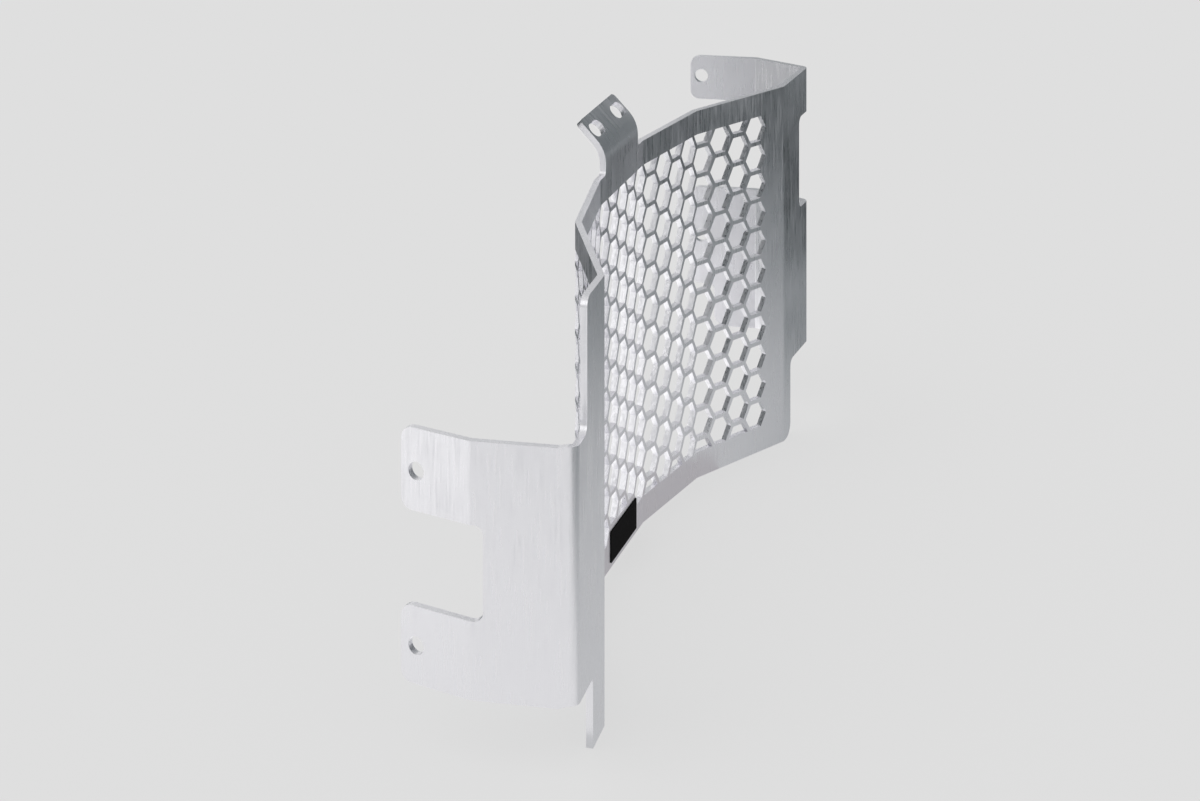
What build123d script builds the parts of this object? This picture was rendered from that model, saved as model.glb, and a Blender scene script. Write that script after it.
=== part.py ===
"""Motorcycle radiator guard: one laser-cut aluminium sheet, folded upright, with a small nameplate.

Seen from above, the sheet follows one folded path: left tab, left flange, left strip, five panel
facets, right strip, right flange, right tab. Left is -X, right is +X, the bike's front is -Y and
the radiator sits behind the panel, towards +Y. The guard stands on the panel's bottom edge, and
the origin is the middle of that edge's foot face. Sizes are millimetres and angles are degrees.
Path sizes are taken along the front face.
"""
import os
from math import atan2, cos, degrees, radians, sin, sqrt

from build123d import *

# Sheet
sheet = 3.0
bend_inside_radius = 1.0

# Panel: facet widths, and how far each facet's outer end leans forward
panel_height = 188.0
centre_facet = 62.4
inner_facet = 55.8
inner_lean = 11.1
outer_facet = 64.1
outer_lean = 28.7

# Strips between the panel and the side flanges
strip = 40.1
strip_lean = 3.8

# Honeycomb of flat-topped cells in upright columns
cell_opening = 13.0
cell_web = 2.0
cell_rows = 11
cell_columns = 21
bottom_border = 13.0

# Nameplate on the centre facet, on a land without cells
plate_width = 37.4
plate_height = 15.0
plate_thickness = 0.5
plate_bottom = 2.4
plate_offset = 1.3
land_above_plate = 2.1
land_columns = 3

# Left flange, with one tab above and one below a gap
left_flange = 44.5
left_flange_toe_out = 9.5
left_tab = 32.7
left_tab_tuck_in = 8.3
left_flange_top = 132.2
left_flange_bottom = 27.5
left_fold_top = 133.0
left_fold_bottom = 28.9
left_fold_ramp = 4.0
left_free_edge = 26.2
left_tongue = 17.7
left_gap_top = 98.3
left_gap_bottom = 59.3
left_gap_depth = 38.8

# Right flange, cut into an upper tab and a lower one
right_flange = 32.4
right_flange_toe_out = 15.3
right_tab = 36.7
right_tab_tuck_in = 10.5
right_free_edge = 25.0
right_upper_tab = 23.5
right_flange_top = 115.5
right_flange_bottom = 39.2
right_tongue = 10.4
right_tab_cut_height = 23.3
right_tab_cut = 13.3

# Screw holes in the side tabs
hole_diameter = 7.5
left_hole_from_end = 7.2
right_hole_from_end = 6.0
left_upper_hole = 114.7
left_lower_hole = 43.2
right_upper_hole = 177.2
right_lower_hole = 89.0

# Corners of the sheet's outline
tab_corner = 5.0
panel_corner = 4.0
foot_corner = 6.5
gap_corner = 4.0
edge_corner = 4.0
tongue_corner = 2.0

# Top tab: an upright neck, a soft bend rearward and a flat end with two slots
top_tab_width = 46.8
top_tab_neck = 5.2
top_tab_bend_radius = 15.3
top_tab_bend = 46.0
top_tab_flat = 11.7
top_tab_corner = 2.5
top_tab_root = 2.0
slot_length = 13.6
slot_width = 7.5
slot_from_end = 4.0
slot_from_side = 1.6

# Values worked out from the sizes above
bend_outside_radius = bend_inside_radius + sheet
cell_pitch = cell_opening + cell_web
column_pitch = cell_pitch * sqrt(3) / 2
cell_radius = cell_opening / sqrt(3)
lowest_cell = bottom_border + cell_opening / 2
window_top = lowest_cell + (cell_rows - 1) * cell_pitch + cell_opening / 2
land_top = plate_bottom + plate_height + land_above_plate
right_gap_top = panel_height - right_upper_tab
right_tab_bottom = right_flange_bottom + right_tab_cut_height


def polar(start, length, angle):
    """The plan point at a length from a start, at an angle from +X."""
    return start[0] + length * cos(radians(angle)), start[1] + length * sin(radians(angle))


def half_path(flange, toe_out, tab, tuck_in):
    """Plan corners of the right-hand form of one half, from the centre facet to the tab's end."""
    legs = [
        (inner_facet, -inner_lean),
        (outer_facet, -outer_lean),
        (strip, -strip_lean),
        (flange, 90 - toe_out),
        (tab, 90 + tuck_in),
    ]
    points = [(centre_facet / 2, -sheet / 2)]
    for length, angle in legs:
        points.append(polar(points[-1], length, angle))
    return points


left_half = half_path(left_flange, left_flange_toe_out, left_tab, left_tab_tuck_in)
right_half = half_path(right_flange, right_flange_toe_out, right_tab, right_tab_tuck_in)
path = [(-x, y) for x, y in reversed(left_half)] + right_half

# A facet is numbered by its first corner in the path, counted from the left tab's end
facets = range(len(path) - 1)
LEFT_TAB, LEFT_FLANGE, LEFT_STRIP, *PANEL_FACETS, RIGHT_STRIP, RIGHT_FLANGE, RIGHT_TAB = facets


def facet_vector(facet):
    (x0, y0), (x1, y1) = path[facet], path[facet + 1]
    return Vector(x1 - x0, y1 - y0)


def front_plane(corner, direction):
    """An upright plane at a path corner: x along a direction in plan, y up, z out of the front."""
    return Plane(origin=path[corner], x_dir=direction, z_dir=direction.cross(Vector(0, 0, 1)))


def facet_plane(facet):
    return front_plane(facet, facet_vector(facet))


def fold_plane(corner):
    """The plane that lies evenly between the two facets that meet in a corner."""
    before = facet_vector(corner - 1).normalized()
    after = facet_vector(corner).normalized()
    return front_plane(corner, before + after)


def fold_turn(corner):
    """How far the path turns at a corner, positive where it turns rearward."""
    before, after = facet_vector(corner - 1), facet_vector(corner)
    return degrees(atan2(after.Y, after.X) - atan2(before.Y, before.X))


def back_path():
    """The front path carried back by the sheet's thickness, corner for corner."""
    first = facet_plane(LEFT_TAB) * Pos(0, 0, -sheet)
    last = facet_plane(RIGHT_TAB) * Pos(right_tab, 0, -sheet)
    points = [first.position]
    for corner in range(1, len(path) - 1):
        depth = sheet / cos(radians(fold_turn(corner) / 2))
        points.append((fold_plane(corner) * Pos(0, 0, -depth)).position)
    return points + [last.position]


def folded_blank():
    """The whole sheet at panel height, with every fold rounded."""
    front = path
    back = back_path()
    section = make_face(Polyline(*front, *reversed(back), close=True))
    for corner in range(1, len(path) - 1):
        inside, outside = (back[corner], front[corner])
        if fold_turn(corner) < 0:
            inside, outside = outside, inside
        for point, radius in ((inside, bend_inside_radius), (outside, bend_outside_radius)):
            vertex = section.vertices().sort_by_distance(point)[0]
            section = fillet(vertex, radius)
    return extrude(section, panel_height, dir=(0, 0, 1))


def outward(facet):
    """+1 on the right side and -1 on the left: the way along the path that leaves the panel."""
    return 1 if facet >= RIGHT_STRIP else -1


def side_place(facet, distance, height, depth=0.0):
    """A place on a side facet, at a distance from its end nearest the panel."""
    along = distance if facet >= RIGHT_STRIP else facet_vector(facet).length - distance
    return facet_plane(facet) * Pos(along, height, -depth)


def side_cut(facet, distance, low, high, depth):
    """A block that takes all beyond a distance on a side facet, between two heights."""
    length = strip + left_flange + left_tab + right_flange + right_tab
    middle = side_place(facet, distance, (low + high) / 2)
    return middle * Pos(outward(facet) * length / 2, 0, 0) * Box(length, high - low, 2 * depth)


def left_ramps():
    """Cutters that let both edges of the left flange rise to the higher edges at its fold."""
    start = -bend_outside_radius
    end = start - left_fold_ramp
    tip = -left_flange - left_tab
    rise = left_fold_bottom - left_flange_bottom
    low = Polyline((0, 0), (end, 0), (start, rise), (0, rise), close=True)
    rise = left_fold_top - left_flange_top
    clear = rise + sheet
    high = Polyline((tip, 0), (end, 0), (start, rise), (start, clear), (tip, clear), close=True)
    outlines = ((low, left_flange_bottom), (high, left_flange_top))
    return [
        side_place(LEFT_FLANGE, 0, height) * extrude(make_face(outline), left_tab / 2, both=True)
        for outline, height in outlines
    ]


def cut_sides(guard):
    """Cut the flanges, tabs and free edges out of the full-height ends of the sheet."""
    left_depth = left_flange + left_tab
    right_depth = right_flange + right_tab
    strip_depth = (sheet + bend_outside_radius) / 2
    guard -= side_cut(LEFT_STRIP, left_free_edge, left_fold_top, panel_height, left_depth)
    guard -= side_cut(LEFT_STRIP, left_tongue, 0, left_flange_bottom, left_depth)
    guard -= side_cut(LEFT_STRIP, left_tongue, 0, left_fold_bottom, strip_depth)
    guard -= left_ramps()
    guard -= side_cut(LEFT_FLANGE, left_gap_depth, left_gap_bottom, left_gap_top, left_tab)
    guard -= side_cut(RIGHT_STRIP, right_free_edge, right_flange_top, right_gap_top, right_depth)
    guard -= side_cut(RIGHT_STRIP, right_tongue, 0, right_flange_bottom, right_depth)
    tab_cut = right_tab - right_tab_cut
    guard -= side_cut(RIGHT_TAB, tab_cut, right_flange_bottom, right_tab_bottom, sheet)
    return guard


def round_sides(guard):
    """Round the corners of the side outlines, each through the sheet's thickness."""
    tab_cut = right_tab - right_tab_cut
    corners = [
        (LEFT_STRIP, left_free_edge, panel_height, panel_corner),
        (LEFT_STRIP, left_free_edge, left_fold_top, edge_corner),
        (LEFT_STRIP, left_tongue, left_fold_bottom, tongue_corner),
        (LEFT_TAB, left_tab, left_flange_top, tab_corner),
        (LEFT_TAB, left_tab, left_gap_top, tab_corner),
        (LEFT_TAB, left_tab, left_gap_bottom, tab_corner),
        (LEFT_TAB, left_tab, left_flange_bottom, tab_corner),
        (LEFT_FLANGE, left_gap_depth, left_gap_top, gap_corner),
        (LEFT_FLANGE, left_gap_depth, left_gap_bottom, gap_corner),
        (RIGHT_TAB, right_tab, panel_height, tab_corner),
        (RIGHT_TAB, right_tab, right_gap_top, tab_corner),
        (RIGHT_TAB, right_tab, right_flange_top, tab_corner),
        (RIGHT_TAB, right_tab, right_tab_bottom, tab_corner),
        (RIGHT_TAB, tab_cut, right_tab_bottom, edge_corner),
        (RIGHT_TAB, tab_cut, right_flange_bottom, foot_corner),
        (RIGHT_STRIP, right_free_edge, right_gap_top, edge_corner),
        (RIGHT_STRIP, right_free_edge, right_flange_top, edge_corner),
        (RIGHT_STRIP, right_tongue, right_flange_bottom, edge_corner),
        (RIGHT_STRIP, right_tongue, 0, foot_corner),
    ]
    for facet, distance, height, radius in corners:
        middle = side_place(facet, distance, height, sheet / 2)
        edge = guard.edges().sort_by_distance(middle.position)[0]
        guard = fillet(edge, radius)
    return guard


def side_holes():
    """Drills for the screw holes, two on each side."""
    left, right = left_tab - left_hole_from_end, right_tab - right_hole_from_end
    places = [
        (LEFT_TAB, left, left_upper_hole),
        (LEFT_TAB, left, left_lower_hole),
        (RIGHT_TAB, right, right_upper_hole),
        (RIGHT_TAB, right, right_lower_hole),
    ]
    drill = Cylinder(hole_diameter / 2, 2 * sheet)
    return [side_place(*place, sheet / 2) * drill for place in places]


def top_tab_line(depth):
    """Side view of the top tab at a depth behind its front face, from the panel's top edge."""
    y = depth - sheet / 2
    neck = Line((y, panel_height), (y, panel_height + top_tab_neck))
    bend = JernArc(neck @ 1, neck % 1, top_tab_bend_radius - depth, -top_tab_bend)
    flat = PolarLine(bend @ 1, top_tab_flat, direction=bend % 1)
    return neck + bend + flat


def top_tab_plane():
    """Front face of the top tab's flat end: origin at its tip, x to the right, y past the tip."""
    tip = top_tab_line(0) @ 1
    bend = radians(top_tab_bend)
    return Plane(origin=(0, tip.X, tip.Y), x_dir=(1, 0, 0), z_dir=(0, -cos(bend), sin(bend)))


def top_tab():
    """The top tab with its slots and rounded tip, ready to join to the panel's top edge."""
    front, back = top_tab_line(0), top_tab_line(sheet)
    outline = front + Line(front @ 1, back @ 1) + back + Line(front @ 0, back @ 0)
    tab = extrude(Plane.YZ * make_face(outline.edges()), top_tab_width / 2, both=True)
    tip = top_tab_plane()
    slot_x = top_tab_width / 2 - slot_from_side - slot_length / 2
    slot = extrude(SlotOverall(slot_length, slot_width), sheet, both=True)
    for side in (-1, 1):
        tab -= tip * Pos(side * slot_x, -slot_from_end - slot_width / 2, -sheet / 2) * slot
        corner = tip * Pos(side * top_tab_width / 2, 0, -sheet / 2)
        tab = fillet(tab.edges().sort_by_distance(corner.position)[0], top_tab_corner)
    return tab


def add_top_tab(guard):
    guard += top_tab()
    for side in (-1, 1):
        root = Vector(side * top_tab_width / 2, 0, panel_height)
        guard = fillet(guard.edges().sort_by_distance(root)[0], top_tab_root)
    return guard


def column_plane(distance):
    """Where a column of cells stands at a distance along the panel: its plane and its x there.

    A column that a fold runs through is cut square to the plane between the two facets.
    """
    start = 0.0
    for facet in PANEL_FACETS:
        along = distance - start
        length = facet_vector(facet).length
        if along < length:
            break
        start += length
    for corner, offset in ((facet, along), (facet + 1, along - length)):
        if abs(offset) < cell_radius:
            return fold_plane(corner), offset * cos(radians(fold_turn(corner) / 2))
    return facet_plane(facet), along


def column_cells(column):
    """The cells of one column about its own middle line, ended flat at the window's edges."""
    in_land = abs(column - (cell_columns - 1) / 2) < land_columns / 2
    low = max(bottom_border, land_top) if in_land else bottom_border
    extra = column % 2
    cells = [
        Pos(0, lowest_cell + (row - extra / 2) * cell_pitch) * RegularPolygon(cell_radius, 6)
        for row in range(cell_rows + extra)
    ]
    window = Pos(0, (low + window_top) / 2) * Rectangle(cell_pitch * 2, window_top - low)
    return (Sketch() + cells) & window


def honeycomb():
    """Cutters for all cells of the panel, column by column along its folded front face."""
    panel_width = centre_facet + 2 * inner_facet + 2 * outer_facet
    first = (panel_width - (cell_columns - 1) * column_pitch) / 2
    cutters = []
    for column in range(cell_columns):
        plane, along = column_plane(first + column * column_pitch)
        cells = plane * Pos(along, 0, -sheet / 2) * column_cells(column)
        cutters.append(extrude(cells, 2 * sheet, both=True))
    return cutters


def radiator_guard():
    guard = round_sides(cut_sides(folded_blank()))
    guard = add_top_tab(guard)
    return guard - side_holes() - honeycomb()


def nameplate():
    """The blank plate, its back on the front face of the centre facet."""
    middle = Pos(plate_offset, -(sheet + plate_thickness) / 2, plate_bottom + plate_height / 2)
    return middle * Box(plate_width, plate_thickness, plate_height)


if __name__ == "__main__":
    os.makedirs("parts", exist_ok=True)
    export_step(radiator_guard(), "parts/radiator_guard.step")
    export_step(nameplate(), "parts/nameplate.step")
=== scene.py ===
"""Motorcycle radiator guard: a folded, laser-cut aluminium sheet on its panel's bottom edge.

Lengths are metres. The guard's left is -X, its front is -Y and up is +Z.
"""
from math import cos, radians, sin

import bmesh
import bpy
from mathutils import Matrix, Vector


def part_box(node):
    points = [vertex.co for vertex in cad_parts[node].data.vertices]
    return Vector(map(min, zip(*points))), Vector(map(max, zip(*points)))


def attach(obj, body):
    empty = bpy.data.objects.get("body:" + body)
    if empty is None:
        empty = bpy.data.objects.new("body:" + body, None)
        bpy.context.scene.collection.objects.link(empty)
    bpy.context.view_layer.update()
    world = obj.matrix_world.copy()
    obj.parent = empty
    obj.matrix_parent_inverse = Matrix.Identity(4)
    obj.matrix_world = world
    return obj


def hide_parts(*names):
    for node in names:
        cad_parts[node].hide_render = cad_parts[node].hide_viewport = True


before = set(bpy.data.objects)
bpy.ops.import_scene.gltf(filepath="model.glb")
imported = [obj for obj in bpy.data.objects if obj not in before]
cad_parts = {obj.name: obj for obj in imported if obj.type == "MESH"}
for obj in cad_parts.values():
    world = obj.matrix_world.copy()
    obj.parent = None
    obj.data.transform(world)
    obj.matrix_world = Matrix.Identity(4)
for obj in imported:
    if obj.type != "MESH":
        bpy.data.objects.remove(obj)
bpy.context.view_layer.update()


# The guard: one sheet of aluminium, brushed upright before it was laser-cut and folded.
# The brushing leaves long fine scratches, deeper in places, and handling leaves faint cloudy marks.
# Above the panel's top the scratches follow the bend of the slotted tab.
aluminium = (0.965, 0.96, 0.99, 1)
aluminium_worn = (0.915, 0.91, 0.94, 1)
fine_scratches_per_metre = 2200.0
broad_scratches_per_metre = 1000.0
scratch_ends_per_metre = 60.0
cloud_patches_per_metre = 60.0
panel_top = 0.189
fine_share = 0.45
cloud_share_of_wear = 0.2
cloud_share_of_colour = 0.25
smoothest = 0.22
roughest = 0.76
brushed_sheen_pull = 0.6
scratch_depth = 0.00003
scratch_strength = 0.5
grain_detail = 2.0
grain_stretch = 2.2


class Shade:
    """A socket that adds its own Math node when it stands in a sum."""

    def __init__(self, tree, socket):
        self.tree, self.socket = tree, socket

    def node(self, kind, settings=(), **inputs):
        """Any other node: its settings are set first, then the values or links of its sockets."""
        made = self.tree.nodes.new(kind)
        for name, value in dict(settings).items():
            if name == "stops":
                self.set_stops(made.color_ramp.elements, value)
            else:
                setattr(made, name, value)
        self.feed(made, **inputs)
        return made

    def set_stops(self, elements, stops):
        """Give a new ramp its stops, each with its place and its colour."""
        while len(elements) < len(stops):
            elements.new(1.0)
        for element, (at, colour) in zip(elements, stops):
            element.position = at
            element.color = colour

    def feed(self, made, **inputs):
        """Set or link sockets of a node, by their names or as i0, i1 and so on by their order."""
        for name, value in inputs.items():
            socket = made.inputs[int(name[1:]) if name[1:].isdigit() else name.replace("_", " ")]
            if isinstance(value, Shade):
                self.tree.links.new(value.socket, socket)
            else:
                socket.default_value = value

    def maths(self, operation, *values):
        inputs = {f"i{i}": value for i, value in enumerate(values)}
        made = self.node("ShaderNodeMath", {"operation": operation}, **inputs)
        return Shade(self.tree, made.outputs[0])

    def __add__(self, other):
        return self.maths("ADD", self, other)

    def __sub__(self, other):
        return self.maths("SUBTRACT", self, other)

    def __rsub__(self, other):
        return self.maths("SUBTRACT", other, self)

    def __mul__(self, other):
        return self.maths("MULTIPLY", self, other)

    __radd__, __rmul__ = __add__, __mul__

    def axes(self):
        """The X, Y and Z of a place."""
        split = self.node("ShaderNodeSeparateXYZ", Vector=self)
        return [Shade(self.tree, socket) for socket in split.outputs]

    def grain(self, x, y, z):
        """Noise about a half, stretched to fill 0 to 1."""
        vector = self.node("ShaderNodeCombineXYZ", X=x, Y=y, Z=z)
        vector = Shade(self.tree, vector.outputs[0])
        noise = self.node("ShaderNodeTexNoise", Vector=vector, Scale=1.0, Detail=grain_detail)
        return Shade(self.tree, noise.outputs["Fac"]) * grain_stretch + (1 - grain_stretch) / 2

    def mix(self, first, second):
        """A colour that goes from the first to the second as this socket goes from 0 to 1."""
        made = self.node("ShaderNodeMix", {"data_type": "RGBA"}, i0=self, i6=first, i7=second)
        return Shade(self.tree, made.outputs[2])


def new_material(name):
    """A new material, its Principled shader, and a Shade of the place on the piece."""
    material = bpy.data.materials.new(name)
    material.use_nodes = True
    tree = material.node_tree
    coordinates = Shade(tree, None).node("ShaderNodeTexCoord")
    return material, tree.nodes["Principled BSDF"], Shade(tree, coordinates.outputs["Object"])


brushed, shader, place = new_material("brushed_aluminium")
x, y, z = place.axes()
on_panel = place.maths("LESS_THAN", z, panel_top)
along_y = y * on_panel
fine, broad = (
    place.grain(x * per_metre, along_y * per_metre, z * scratch_ends_per_metre)
    for per_metre in (fine_scratches_per_metre, broad_scratches_per_metre)
)
clouds = place.grain(*(axis * cloud_patches_per_metre for axis in (x, y, z)))
scratches = fine * fine_share + broad * (1 - fine_share)
wear = scratches * (1 - cloud_share_of_wear) + clouds * cloud_share_of_wear
colour = scratches * (1 - cloud_share_of_colour) + clouds * cloud_share_of_colour
bump = place.node(
    "ShaderNodeBump", Height=scratches, Strength=scratch_strength, Distance=scratch_depth
)
place.feed(
    shader,
    Base_Color=colour.mix(aluminium_worn, aluminium),
    Metallic=1.0,
    Roughness=wear * wear * (roughest - smoothest) + smoothest,
    Anisotropic=brushed_sheen_pull,
    Normal=Shade(place.tree, bump.outputs[0]),
)
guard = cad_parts["radiator_guard"]
guard.data.materials.clear()
guard.data.materials.append(brushed)


# The nameplate: a thin plate with rounded corners, coated in satin black and left blank.
# It is glued to the front of the centre facet, at the foot.
plate_corner = 0.0008
plate_corner_steps = 5
plate_edge = 0.00012
plate_edge_steps = 2
plate_black = (0.004, 0.004, 0.004, 1)
plate_black_worn = (0.007, 0.007, 0.007, 1)
plate_grain_per_metre = 900.0
plate_smoothest = 0.5
plate_roughest = 0.65
plate_shine = 0.02

black, shader, place = new_material("black_foil")
coating = place.grain(*(axis * plate_grain_per_metre for axis in place.axes()))
place.feed(
    shader,
    Base_Color=coating.mix(plate_black, plate_black_worn),
    Roughness=coating * (plate_roughest - plate_smoothest) + plate_smoothest,
    Specular_IOR_Level=plate_shine,
)


def round_off(bm, edges, radius, steps):
    bmesh.ops.bevel(
        bm, geom=edges, offset=radius, segments=steps, profile=0.5, affect="EDGES", material=-1
    )


def new_piece(name, bm, material):
    """An object at the origin, unturned, made of a finished bmesh."""
    mesh = bpy.data.meshes.new(name)
    bm.to_mesh(mesh)
    bm.free()
    mesh.materials.append(material)
    piece = bpy.data.objects.new(name, mesh)
    bpy.context.scene.collection.objects.link(piece)
    return piece


plate_low, plate_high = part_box("nameplate")
bm = bmesh.new()
bmesh.ops.create_cube(bm, size=1.0)
bmesh.ops.scale(bm, vec=plate_high - plate_low, verts=bm.verts)
bmesh.ops.translate(bm, vec=(plate_low + plate_high) / 2, verts=bm.verts)
corners = [e for e in bm.edges if abs(e.verts[0].co.y - e.verts[1].co.y) > plate_edge]
round_off(bm, corners, plate_corner, plate_corner_steps)
rim = [e for e in bm.edges if all(v.co.y < plate_low.y + plate_edge for v in e.verts)]
round_off(bm, rim, plate_edge, plate_edge_steps)
plate = new_piece("blank_plate", bm, black)
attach(plate, "root")
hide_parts("nameplate")


# The floor: a large sheet of pale matt paper that the guard stands on. The camera and the metal
# see it mostly as one even tone, and the guard's soft shadow stays faintly on it.
backdrop = (0.737, 0.737, 0.737, 1)
paper_white = (0.79, 0.79, 0.79, 1)
paper_roughness = 0.9
floor_half = 6.0
floor_drop = 0.0004
even_share = 0.85

paper, shader, place = new_material("pale_floor")
place.feed(shader, Base_Color=paper_white, Roughness=paper_roughness, Specular_IOR_Level=0.0)
path = place.node("ShaderNodeLightPath")
camera_ray, glossy_ray, transmission_ray = (
    Shade(place.tree, path.outputs[ray])
    for ray in ("Is Camera Ray", "Is Glossy Ray", "Is Transmission Ray")
)
even = place.node("ShaderNodeEmission", Color=backdrop, Strength=1.0)
both = place.node(
    "ShaderNodeMixShader",
    Fac=(camera_ray + glossy_ray + transmission_ray) * even_share,
    i1=Shade(place.tree, shader.outputs[0]),
    i2=Shade(place.tree, even.outputs[0]),
)
place.feed(place.tree.nodes["Material Output"], Surface=Shade(place.tree, both.outputs[0]))
bm = bmesh.new()
bmesh.ops.create_grid(bm, x_segments=1, y_segments=1, size=floor_half)
bmesh.ops.translate(bm, vec=(0, 0, -floor_drop), verts=bm.verts)
floor = new_piece("floor", bm, paper)


# The light: an even pale surround, and a broad soft sun from high on the left behind the guard.
# The metal doesn't mirror the sun, which is there for the soft shadow on the floor.
sun_strength = 0.8
sun_spread_radians = 0.9
sun_way = Vector((0.6, -0.45, -1.0))

world = bpy.data.worlds.new("surround")
bpy.context.scene.world = world
world.use_nodes = True
surround = world.node_tree.nodes["Background"]
surround.inputs["Color"].default_value = backdrop
surround.inputs["Strength"].default_value = 1.0

sun = bpy.data.lights.new("soft_sun", "SUN")
sun.energy = sun_strength
sun.angle = sun_spread_radians
soft_sun = bpy.data.objects.new("soft_sun", sun)
soft_sun.rotation_mode = "QUATERNION"
soft_sun.rotation_quaternion = sun_way.to_track_quat("-Z", "Y")
soft_sun.visible_glossy = False
bpy.context.scene.collection.objects.link(soft_sun)


# A wide grey card glows under the guard, and only the metal's reflections show it: a painted
# reflection, as in a photographer's tent.
# Its glow is palest along a line from the left to the guard's middle, and deepens away from that
# line.
card_radius = 1.6
card_sides = 48
card_drop = floor_drop / 2
line_end = (0.034, -0.065)
line_lean = 0.3
front_to_back = 0.8
lying_greys = (
    (0.0, 0.54),
    (0.055, 0.51),
    (0.075, 0.43),
    (0.09, 0.41),
    (0.121, 0.33),
    (0.155, 0.2),
    (0.185, 0.29),
    (0.197, 0.26),
    (0.208, 0.12),
    (0.235, 0.07),
    (0.296, 0.04),
    (0.5, 0.22),
    (1.0, 0.45),
)
deep_tint = (0.83, 1.0, 1.06)
tint_fall = 3


def greys(reach, stops):
    """A ramp of greys over a reach of 0 to 1, cooler where they are deeper."""
    tinted = []
    for at, grey in stops:
        tint = [1 + (1 - grey) ** tint_fall * (deep - 1) for deep in deep_tint]
        tinted.append((at, (*(grey * share for share in tint), 1)))
    ramp = reach.node("ShaderNodeValToRGB", {"stops": tinted}, Fac=reach)
    return Shade(reach.tree, ramp.outputs[0])


def card(name, bm, light):
    """Make a card of a bmesh: it glows by its light, and only reflections show it."""
    material, shader, place = new_material(name)
    place.feed(
        shader,
        Base_Color=(0, 0, 0, 1),
        Emission_Color=light(place),
        Emission_Strength=1.0,
        Specular_IOR_Level=0.0,
    )
    made = new_piece(name, bm, material)
    made.visible_camera = False
    made.visible_diffuse = False
    made.visible_shadow = False
    made.visible_transmission = False


def lying_light(place):
    """Grey by the distance to the pale line, which has an end on the right only."""
    x, y, _ = place.axes()
    aside = y - line_end[1]
    past = place.maths("MAXIMUM", x - line_end[0] + aside * line_lean, 0.0)
    aside = aside * front_to_back
    away = place.maths("SQRT", past * past + aside * aside)
    return greys(away * (1 / card_radius), lying_greys)


bm = bmesh.new()
bmesh.ops.create_circle(bm, cap_ends=True, segments=card_sides, radius=card_radius)
bmesh.ops.translate(bm, vec=(0, 0, -card_drop), verts=bm.verts)
card("lying_card", bm, lying_light)


# Four glowing sheets lie on the card, seen only in the metal's reflections as painted reflections:
# one on the left for the left tabs, and one behind the panel that shines up into the honeycomb's
# cells. A grey one lies before the panel's foot, and a deep one on the right gives the right cells
# a painted dark reflection.
sheet_drop = floor_drop / 4
left_sheet = dict(x=-0.5, y=0.15, half_length=0.33, half_width=0.35)
left_greys = (
    (0.0, 0.65),
    (0.15, 0.74),
    (0.26, 0.76),
    (0.4, 0.79),
    (0.54, 0.91),
    (0.62, 0.95),
    (1.0, 0.95),
)
rear_sheet = dict(x=0.0, y=0.052, half_length=0.16, half_width=0.05)
foot_sheet = dict(x=0.03, y=-0.02, half_length=0.07, half_width=0.02)
foot_grey = (0.43, 0.42, 0.43, 1)
right_sheet = dict(x=0.31, y=0.09, half_length=0.14, half_width=0.09)
right_grey = (0.07, 0.08, 0.085, 1)
white = (1.1, 1.1, 1.1, 1)


def sheet(x, y, half_length, half_width):
    """A flat oblong about its middle, just above the card."""
    bm = bmesh.new()
    bmesh.ops.create_grid(bm, x_segments=1, y_segments=1, size=1.0)
    bmesh.ops.scale(bm, vec=(half_length, half_width, 1.0), verts=bm.verts)
    bmesh.ops.translate(bm, vec=(x, y, -sheet_drop), verts=bm.verts)
    return bm


def left_light(place):
    """Grey by the distance from the left sheet's front edge."""
    _, y, _ = place.axes()
    per_metre = 0.5 / left_sheet["half_width"]
    return greys(y * per_metre + (0.5 - left_sheet["y"] * per_metre), left_greys)


card("left_sheet", sheet(**left_sheet), left_light)
card("rear_sheet", sheet(**rear_sheet), lambda place: white)
card("foot_sheet", sheet(**foot_sheet), lambda place: foot_grey)
card("right_sheet", sheet(**right_sheet), lambda place: right_grey)
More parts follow.
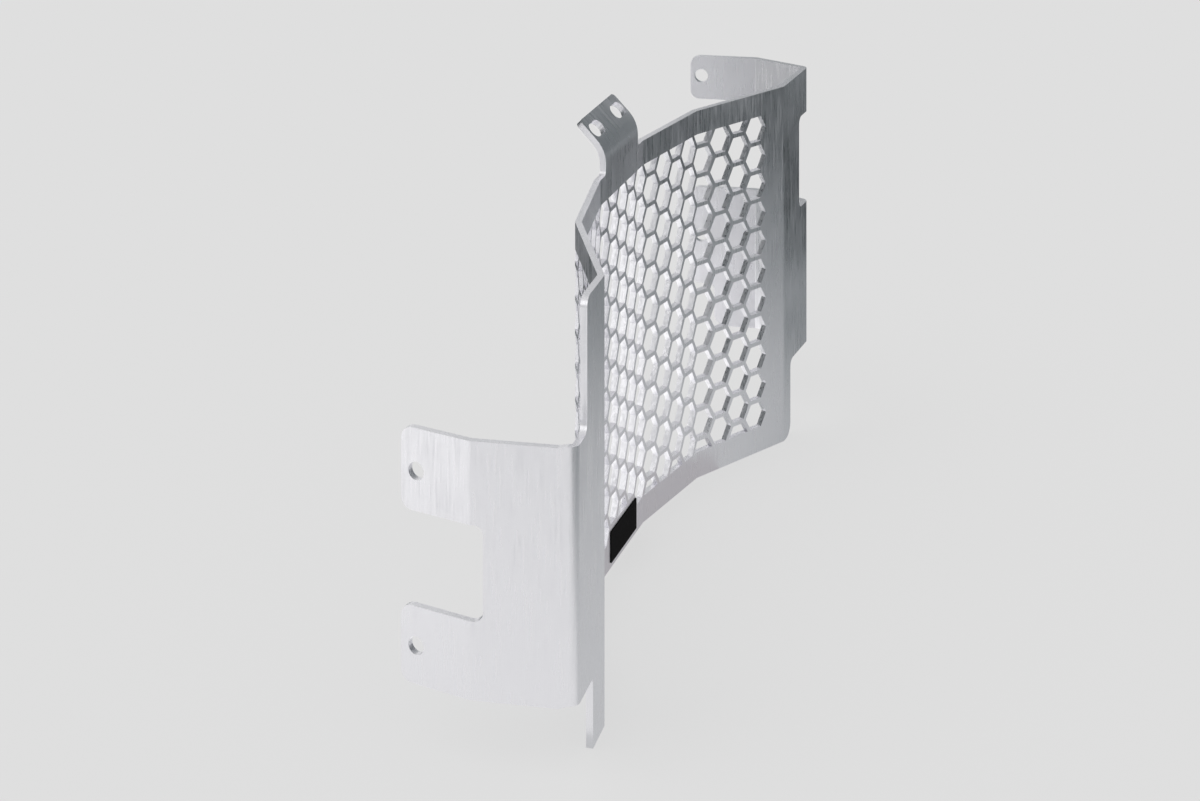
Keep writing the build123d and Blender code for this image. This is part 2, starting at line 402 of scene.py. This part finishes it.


# Two glowing cards stand round the guard, one deep and one white, seen only in the metal's
# reflections as painted reflections.
# The deep one goes from the front past the right to the rear, where the sheet's top edges, the top
# tab and the right cells see it.
# The white one is on the left, for the walls inside the other cells.
deep_wall = dict(start=-117, turn=245, low=0.0, high=2.2)
white_wall = dict(start=128, turn=82, low=0.4, high=1.9)
wall_steps = 48
wall_greys = (
    (0.0, 0.15),
    (0.29, 0.16),
    (0.44, 0.2),
    (0.56, 0.26),
    (0.66, 0.6),
    (0.8, 0.8),
    (0.865, 0.72),
    (0.89, 0.08),
)


def wall(start, turn, low, high):
    """A strip of a standing cylinder between two heights; the start and turn are in degrees."""
    bm = bmesh.new()
    at = card_radius * cos(radians(start)), card_radius * sin(radians(start))
    foot, head = bm.verts.new((*at, low)), bm.verts.new((*at, high))
    bmesh.ops.spin(
        bm,
        geom=[foot, head, bm.edges.new((foot, head))],
        axis=(0, 0, 1),
        cent=(0, 0, 0),
        angle=radians(turn),
        steps=wall_steps,
    )
    return bm


def deep_wall_light(place):
    """Grey by how far the card stands to the front or the rear."""
    _, y, _ = place.axes()
    return greys(y * (0.5 / card_radius) + 0.5, wall_greys)


card("deep_wall", wall(**deep_wall), deep_wall_light)
card("white_wall", wall(**white_wall), lambda place: white)


# The camera stands at the guard's left and looks along it, with the sheet's upright edges parallel
# in the picture: it leans down, and the lean is then sheared out of its upright axis.
camera_at = Vector((-1.07314, -0.37339, 0.55639))
camera_forward = Vector((0.94175, 0.33632, 0.0))
camera_slope = 0.42601
sensor_width_mm = 36.0
focal_length_mm = 77.18

up = Vector((0, 0, 1))
camera_right = camera_forward.cross(up)
camera_back = -(camera_forward - up * camera_slope).normalized()
camera_axes = Matrix((camera_right, up, camera_back)).transposed().to_4x4()
mount = bpy.data.objects.new("camera_mount", None)
bpy.context.scene.collection.objects.link(mount)
lens = bpy.data.cameras.new("camera")
lens.sensor_width = sensor_width_mm
lens.lens = focal_length_mm
camera = bpy.data.objects.new("camera", lens)
bpy.context.scene.collection.objects.link(camera)
camera.parent = mount
camera.matrix_parent_inverse = Matrix.Translation(camera_at) @ camera_axes
bpy.context.scene.camera = camera
bpy.context.scene.view_settings.view_transform = "Standard"

bpy.context.view_layer.update()
